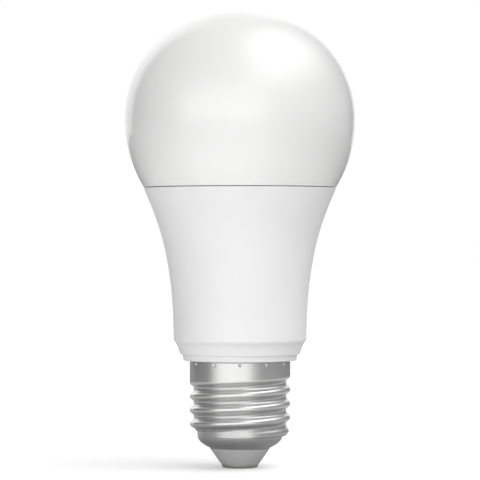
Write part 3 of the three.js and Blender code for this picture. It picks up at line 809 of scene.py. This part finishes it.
# ---- Plug between driver and LED board ------------------------------------------------------------
# Four square pins in a black header carry the current up to the LED board, where a socket grips them.
PLUG_X, PLUG_Y = 5.5, -2.1
for i in range(4):
    x = PLUG_X + (i - 1.5) * PIN_PITCH
    low, high = (x - PIN, PLUG_Y - PIN, 59), (x + PIN, PLUG_Y + PIN, 72.6)
    pin = block(f"header_pin_square_{i + 1}", low, high, 0.12, 2)
    tin.on(pin)
    stands_for(pin, f"header_pin_{i + 1}")
black.on(frame["nodes"]["header_base"], frame["nodes"]["led_socket"])

# ---- Driver sleeve --------------------------------------------------------------------------------
# A white plastic cup insulates the driver from the heat sink. Ribs inside it guide the board's edges.
sleeve_white = moulded("white_sleeve_plastic", (0.78, 0.78, 0.76), (0.72, 0.72, 0.7), 0.5, 3000)
sleeve_white.on(frame["nodes"]["driver_sleeve"])

# ---- Housing --------------------------------------------------------------------------------------
# One injection-moulded shell of white flame-proof plastic. It flares from the neck, which is pushed into
# the screw shell, to the stepped rim that takes the globe. Its foot ends in a chamfer, a band and a lip.
RIM = 72.75


def flare(inset, steps):
    """The flare of the housing from its rim down to its foot, moved in by some mm."""
    outline = bezier([(25.05, RIM), (21.5, 64.5), (17.5, 55.7), (17.3, 33.7)], steps)
    return [(r - inset, z) for r, z in outline]


inside = [point for point in flare(1.3, 60) if 36.2 < point[1] < 70.1]
housing = turned("housing_body", [
    *flare(0, 72)[1:],
    *arc((16.2, 33.55), 1.1, -2, -58, 10),
    (16.05, 31.1),
    *arc((15.7, 30.85), 0.3, -30, -10, 3),
    (15.65, 29.85),
    *arc((15.4, 29.8), 0.25, -10, -80, 4),
    (15.05, 29.52), (14.93, 29.4),
    (14.8, 28.35),
    *arc((14.4, 28.3), 0.4, -5, -90, 6),
    (12.3, 27.9), (12.3, 24.6), (11.3, 23.8), (11.3, 10.5), (10.9, 10), (10.2, 10), (10.2, 31),
    (12.4, 33.2), (15.9, 34.2),
    *reversed(inside),
    (22.9, 70.2), (22.9, 71.3), (23.9, 71.3), (23.9, RIM - 0.15), (24.05, RIM),
    (24.9, RIM), (25.0, RIM - 0.08), flare(0, 72)[1],
])
white = moulded("white_housing_plastic", (0.86, 0.86, 0.86), (0.835, 0.835, 0.835), 0.5)
white.on(housing)
stands_for(housing, "housing_shell")

# ---- Heat sink and thermal pad --------------------------------------------------------------------
# A cup drawn from aluminium sheet lines the housing and takes the heat of the LEDs. A soft silicone pad
# on its top fills the gap to the LED board.
spun = Finish("drawn_aluminium", {"Metallic": 1.0})
draw_lines = spun.coords.stretched(2500, 2500, 60).noise(1, 3)
spun.feed({
    "Base Color": draw_lines.colours((0.58, 0.59, 0.6), (0.72, 0.73, 0.74)),
    "Roughness": draw_lines * 0.2 + 0.3,
    "Normal": draw_lines.bump(0.15, 0.01 * MM),
})
spun.on(frame["nodes"]["heat_sink_cup"])
pad = Finish("thermal_silicone", {})
weave = (pad.coords.axis("X") * 9000).math("SINE") * (pad.coords.axis("Y") * 9000).math("SINE")
pad.feed({
    "Base Color": (weave * 0.5 + 0.5).colours((0.2, 0.28, 0.34), (0.25, 0.34, 0.4)),
    "Roughness": pad.coords.noise(600, 2) * 0.1 + 0.72,
    "Normal": weave.bump(0.3, 0.03 * MM),
})
pad.on(frame["nodes"]["thermal_pad"])

# ---- LED board and its screws ---------------------------------------------------------------------
# A round aluminium-core board with glossy white solder mask. Copper rings under the mask join the LEDs,
# and two cross-head screws hold the board down on the heat sink.
BOARD_TOP = 69.6
LED_RING = 17.0
mask = Finish("white_solder_mask", {"Coat Weight": 0.4, "Coat Roughness": 0.15})
out = mask.coords.radius()
ring_at = lambda r, half: (
    out.ramp((r - half) * MM, (r - half + 0.1) * MM) * out.ramp((r + half) * MM, (r + half - 0.1) * MM)
)
traces = ring_at(13.9, 0.8) + ring_at(20.1, 0.6)
specks = mask.coords.noise(900, 3)
mask.feed({
    "Base Color": (traces * 0.7 + specks * 0.3).colours((0.84, 0.85, 0.83), (0.74, 0.76, 0.72)),
    "Roughness": specks * 0.15 + 0.3,
    "Normal": (traces + specks * 0.2).bump(0.3, 0.05 * MM),
})
mask.on(frame["nodes"]["led_board"])

zinc = Finish("zinc_plating", {"Metallic": 1.0})
tint = zinc.coords.noise(700, 3)
zinc.feed({
    "Base Color": tint.ramp(0.3, 0.7).colours((0.6, 0.62, 0.66), (0.72, 0.71, 0.66)),
    "Roughness": tint * 0.15 + 0.25,
    "Normal": tint.bump(0.1, 0.01 * MM),
})
HEAD = BOARD_TOP + 0.05
for i, side in enumerate((1, -1)):
    thread = [(1.0 - 0.12 * (k % 2), 64 + 0.35 * k) for k in range(16)]
    screw = turned(f"board_screw_cross_head_{i + 1}", [
        (0, 63.8), (0.6, 63.8), *thread, (0.95, HEAD), (1.75, HEAD), (1.8, HEAD + 0.1),
        (1.78, HEAD + 0.55), *arc((0.85, HEAD + 0.2), 1.0, 25, 85, 8), (0, HEAD + 1.2),
    ], steps=64)
    for vertex in screw.data.vertices:  # the driver's cross is sunk into the head
        x, y, z = (value / MM for value in vertex.co)
        if z > HEAD + 0.6 and math.hypot(x, y) < 1.3 and min(abs(x), abs(y)) < 0.3:
            vertex.co.z -= 0.5 * MM * smooth((1.35 - math.hypot(x, y)) / 0.4)
    moved(screw, side * 17.3, 0)
    zinc.on(screw)
    stands_for(screw, f"board_screw_{i + 1}")

# ---- LEDs -----------------------------------------------------------------------------------------
# Sixteen surface-mounted LEDs, warm white and cool white in turn. Each is a white resin package whose
# shallow cup is filled with phosphor, deeper orange in the warm ones.


def led_package(name, phosphor):
    """An LED on the board at the right of the ring, its long side outwards."""
    low = (LED_RING - 1.75, -1.4, BOARD_TOP + 0.05)
    high = (LED_RING + 1.75, 1.4, BOARD_TOP + 0.75)
    led = block(name, low, high, 0.08, 2)
    bpy.ops.object.mode_set(mode="EDIT")
    bpy.ops.mesh.select_all(action="DESELECT")
    bpy.ops.object.mode_set(mode="OBJECT")
    top = max(led.data.polygons, key=lambda face: (face.center.z > high[2] * MM - 1e-7) * face.area)
    top.select = True
    bpy.ops.object.mode_set(mode="EDIT")
    bpy.ops.mesh.select_mode(type="FACE")
    bpy.ops.mesh.inset(thickness=0.32 * MM)
    bpy.ops.mesh.inset(thickness=0.12 * MM, depth=-0.14 * MM)
    bpy.ops.mesh.inset(thickness=0.25 * MM, depth=0.03 * MM)
    bpy.ops.object.mode_set(mode="OBJECT")
    led_resin.on(led)
    led.data.materials.append(phosphor.material)
    cup = (high[2] - 0.125) * MM
    for face in led.data.polygons:
        sunk = face.center.z < high[2] * MM - 1e-6 and abs(face.center.z - cup) < 0.03 * MM
        if sunk and face.normal.z > 0.9:
            face.material_index = 1
    return led


led_resin = moulded("led_resin", (0.82, 0.82, 0.8), (0.78, 0.78, 0.76), 0.4, 6000)


def phosphor_finish(name, pale, deep):
    """Silicone filled with phosphor powder: grainy colour under a clear soft surface."""
    gel = Finish(name, {"Coat Weight": 0.6, "Coat Roughness": 0.1})
    powder = gel.coords.noise(9000, 3)
    gel.feed({
        "Base Color": powder.ramp(0.3, 0.7).colours(deep, pale),
        "Roughness": powder * 0.1 + 0.35,
        "Normal": powder.bump(0.1, 0.02 * MM),
    })
    return gel


phosphors = {
    "warm": phosphor_finish("warm_phosphor", (0.85, 0.48, 0.1), (0.75, 0.36, 0.05)),
    "cool": phosphor_finish("cool_phosphor", (0.86, 0.72, 0.16), (0.78, 0.62, 0.1)),
}
for kind, first in (("warm", 0.5), ("cool", 1.5)):
    model = led_package(f"led_{kind}_package_1", phosphors[kind])
    copies = [model]
    for number in range(2, 9):
        copy = model.copy()
        copy.data = model.data.copy()
        copy.name = copy.data.name = f"led_{kind}_package_{number}"
        bpy.context.collection.objects.link(copy)
        copies.append(copy)
    for number, led in enumerate(copies, 1):
        led.rotation_euler.z = math.tau * (first + 2 * (number - 1)) / 16
        bpy.ops.object.select_all(action="DESELECT")
        led.select_set(True)
        bpy.context.view_layer.objects.active = led
        bpy.ops.object.transform_apply(location=False, rotation=True, scale=False)
        stands_for(led, f"led_{kind}_{number}")

# ---- Seam sealant ---------------------------------------------------------------------------------
# A bead of white silicone in the housing's rim glues the globe's skirt in.
bead = turned("sealant_bead", [
    (22.75, 71.5), (23.6, 71.5), (23.7, 71.6), (23.7, 72.7), (23.5, 72.85), (22.75, 72.9), (22.75, 71.5),
])
moulded("white_silicone", (0.7, 0.72, 0.72), (0.62, 0.64, 0.64), 0.55, 700, 0.05).on(bead)
stands_for(bead, "seam_sealant_ring")

# ---- Diffuser globe -------------------------------------------------------------------------------
# The globe is blown from opal polycarbonate, so it is smooth and glossy outside and scatters the light
# of the LEDs. Its skirt snaps into the housing's rim and leaves a fine dark seam all round.
GLOBE_R = 30
GLOBE_Z = 90.6
LOWER_ARC = 33.8
GLOBE_WALL = 1.4
SEAM = (RIM, RIM + 0.17)


def below_equator(z, inset=0):
    """Radius of the globe below its equator, where it is a little fuller than a ball."""
    return GLOBE_R - LOWER_ARC + math.sqrt((LOWER_ARC - inset) ** 2 - (z - GLOBE_Z) ** 2)


outer_heights = [73.25 + (GLOBE_Z - 73.25) * i / 32 for i in range(32)]
inner_heights = [GLOBE_Z - (GLOBE_Z - 74.5) * i / 24 for i in range(1, 25)]
globe = turned("opal_globe", [
    (0, GLOBE_Z + GLOBE_R - GLOBE_WALL),
    *reversed(arc((0, GLOBE_Z), GLOBE_R - GLOBE_WALL, 0, 89, 50)),
    *[(below_equator(z, GLOBE_WALL), z) for z in inner_heights],
    (21.4, 74.1), (21.4, 70.6), (22.4, 70.6), (22.6, 71.0), (22.6, SEAM[1]), (24.9, SEAM[1]),
    (25.08, SEAM[1] + 0.1),
    *[(below_equator(z), z) for z in outer_heights],
    *arc((0, GLOBE_Z), GLOBE_R, 0, 89, 70),
    (0, GLOBE_Z + GLOBE_R),
], steps=224)


def opal_plastic():
    """Milky polycarbonate with a polished skin: nearly even in colour, with a very faint ripple."""
    opal = Finish("opal_polycarbonate", {"Coat Weight": 1.0, "Coat Roughness": 0.16, "Coat IOR": 1.5})
    cloud = opal.coords.noise(45, 2)
    opal.feed({
        "Base Color": cloud.ramp(0.3, 0.7).colours((0.85, 0.85, 0.845), (0.87, 0.87, 0.865)),
        "Roughness": opal.coords.noise(300, 2) * 0.06 + 0.3,
        "Normal": opal.coords.noise(140, 2).bump(0.04, 0.05 * MM),
    })
    return opal


opal_plastic().on(globe)
stands_for(globe, "diffuser_globe")

# ---- Studio ---------------------------------------------------------------------------------------
# The bulb stands on a plain white table before a white backdrop, with a wide soft light facing it and
# one high on its right. The camera sees the sky and table white; what lights the bulb is dimmer.
CAMERA_AWAY = 0.677
CAMERA_HEIGHT = 0.0592
VIEW_ANGLE = 10.55

scene = bpy.context.scene
scene.view_settings.view_transform = "Standard"
bpy.ops.object.camera_add(location=(0, -CAMERA_AWAY, CAMERA_HEIGHT), rotation=(math.pi / 2, 0, 0))
scene.camera = bpy.context.object
scene.camera.data.sensor_width = 36
scene.camera.data.lens = 18 / math.tan(math.radians(VIEW_ANGLE / 2))
scene.camera.data.clip_start = 0.01

world = bpy.data.worlds.new("studio")
scene.world = world
world.use_nodes = True
tree = world.node_tree
direction = Port(tree, tree.nodes.new("ShaderNodeTexCoord").outputs["Generated"])
seen = Port(tree, tree.nodes.new("ShaderNodeLightPath").outputs["Is Camera Ray"])
azimuth = direction.axis("X").math("ARCTAN2", direction.axis("Y") * -1) * math.degrees(1)
elevation = direction.axis("Z").math("ARCSINE") * math.degrees(1)


def between(angle, low, high, soft):
    """1 between two angles in degrees and 0 outside them, with soft edges."""
    return angle.ramp(low - soft, low + soft) * angle.ramp(high + soft, high - soft)


# each light reaches over some degrees round the bulb and above the table
facing = between(azimuth, -62, 28, 14) * elevation.ramp(48, 0)
high_right = between(azimuth, 15, 125, 28) * between(elevation, 34, 80, 16)
right_wall = between(azimuth, 35, 145, 10) * elevation.ramp(25, 5)
backdrop = (azimuth.ramp(-131, -141) + azimuth.ramp(150, 162)) * elevation.ramp(75, 35)
room = elevation.ramp(-4, 30) * 0.4 + elevation.ramp(50, 85) * 0.2
light = facing * 1.8 + high_right * 2.0 + right_wall * 0.3 + backdrop + room
tree.links.new((light * (1 - seen) + seen).socket, tree.nodes["Background"].inputs["Strength"])
tree.nodes["Background"].inputs["Color"].default_value = (1, 1, 1, 1)

bpy.ops.mesh.primitive_circle_add(vertices=96, radius=3.0, fill_type="NGON")
table = bpy.context.object
table.name = "table"
paper = Finish("white_table", {"Roughness": 0.9, "Specular IOR Level": 0.0, "Emission Strength": 1.0})
paper_tree = paper.material.node_tree
in_view = Port(paper_tree, paper_tree.nodes.new("ShaderNodeLightPath").outputs["Is Camera Ray"])
distance = paper.coords.radius()
bearing = paper.coords.axis("X").math("ARCTAN2", paper.coords.axis("Y") * -1) * math.degrees(1)
# for rays from the bulb the table is darker near the cap, a painted contact shadow, and far away, painted
# shade, and it glows in front of the bulb, a painted pool of light
painted_glow_in_front = between(bearing, -58, 32, 18) * distance.ramp(0.008, 0.08)
painted_shade_near_and_far = (distance.ramp(0.02, 0.06) * 0.6 + 0.4) * distance.ramp(0.3, 0.12)
seen_by_bulb = painted_shade_near_and_far.colours((0.2, 0.2, 0.2), (0.62, 0.62, 0.62))
paper.feed({
    "Base Color": in_view.colours(seen_by_bulb, (0.92, 0.92, 0.92)),
    # emission: a painted pool of light in front of the bulb for rays from it; camera rays see the table
    # evenly bright
    "Emission Color": painted_glow_in_front * 0.6 * (1 - in_view) + 0.06 + in_view * 0.16,
})
paper.on(table)
